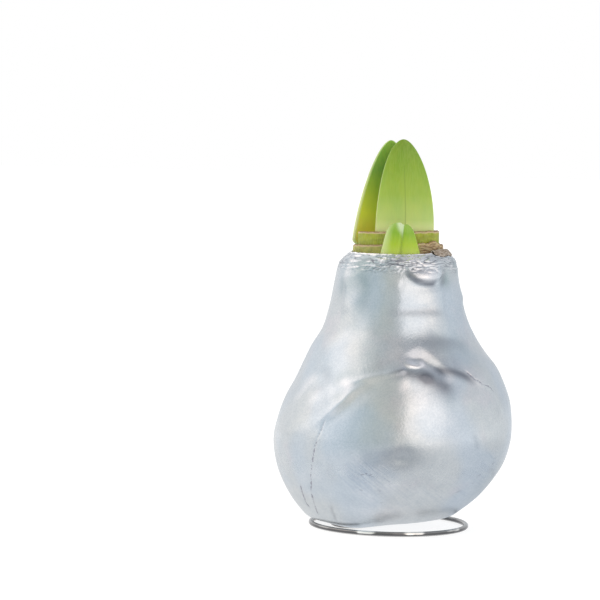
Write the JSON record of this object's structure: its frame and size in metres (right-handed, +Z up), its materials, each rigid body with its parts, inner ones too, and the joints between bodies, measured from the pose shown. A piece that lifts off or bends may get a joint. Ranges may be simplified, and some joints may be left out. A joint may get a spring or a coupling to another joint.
{
  "type": "waxed amaryllis bulb",
  "caption": "Large amaryllis bulb in a pearl-silver wax coat, with green leaves and a shoot in its neck, on a spiral wire ring stand.",
  "frame": {"origin": "bottom centre of the bounding box, on the surface that the wire ring stands on", "axes": "+Z up along the leaves, -Y towards the front with the young shoot, +X to the right seen from the front"},
  "size_m": [0.0944, 0.0904, 0.1539],
  "materials": {
    "pearl_wax": "pearl silver wax, satin gloss",
    "bulb_scales": "moist fleshy scales",
    "dry_leaf_base": "matt, torn and drying brown at the cut",
    "green_leaf_base": "satin, with a thin brown cut edge",
    "leaf": "smooth fleshy leaf, satin",
    "shoot": "smooth young leaf, satin",
    "dry_skin": "papery, matt",
    "wire": "bright plated wire"
  },
  "bodies": {
    "root": {"wax_coat": "pearl_wax", "bulb": "bulb_scales", "outer_leaf_stub": "dry_leaf_base", "inner_leaf_stub": "green_leaf_base", "tall_leaf_front": "leaf", "tall_leaf_back": "leaf", "young_shoot": "shoot", "tunic_remnant": "dry_skin", "wire_stand": "wire"}
  },
  "joints": []
}
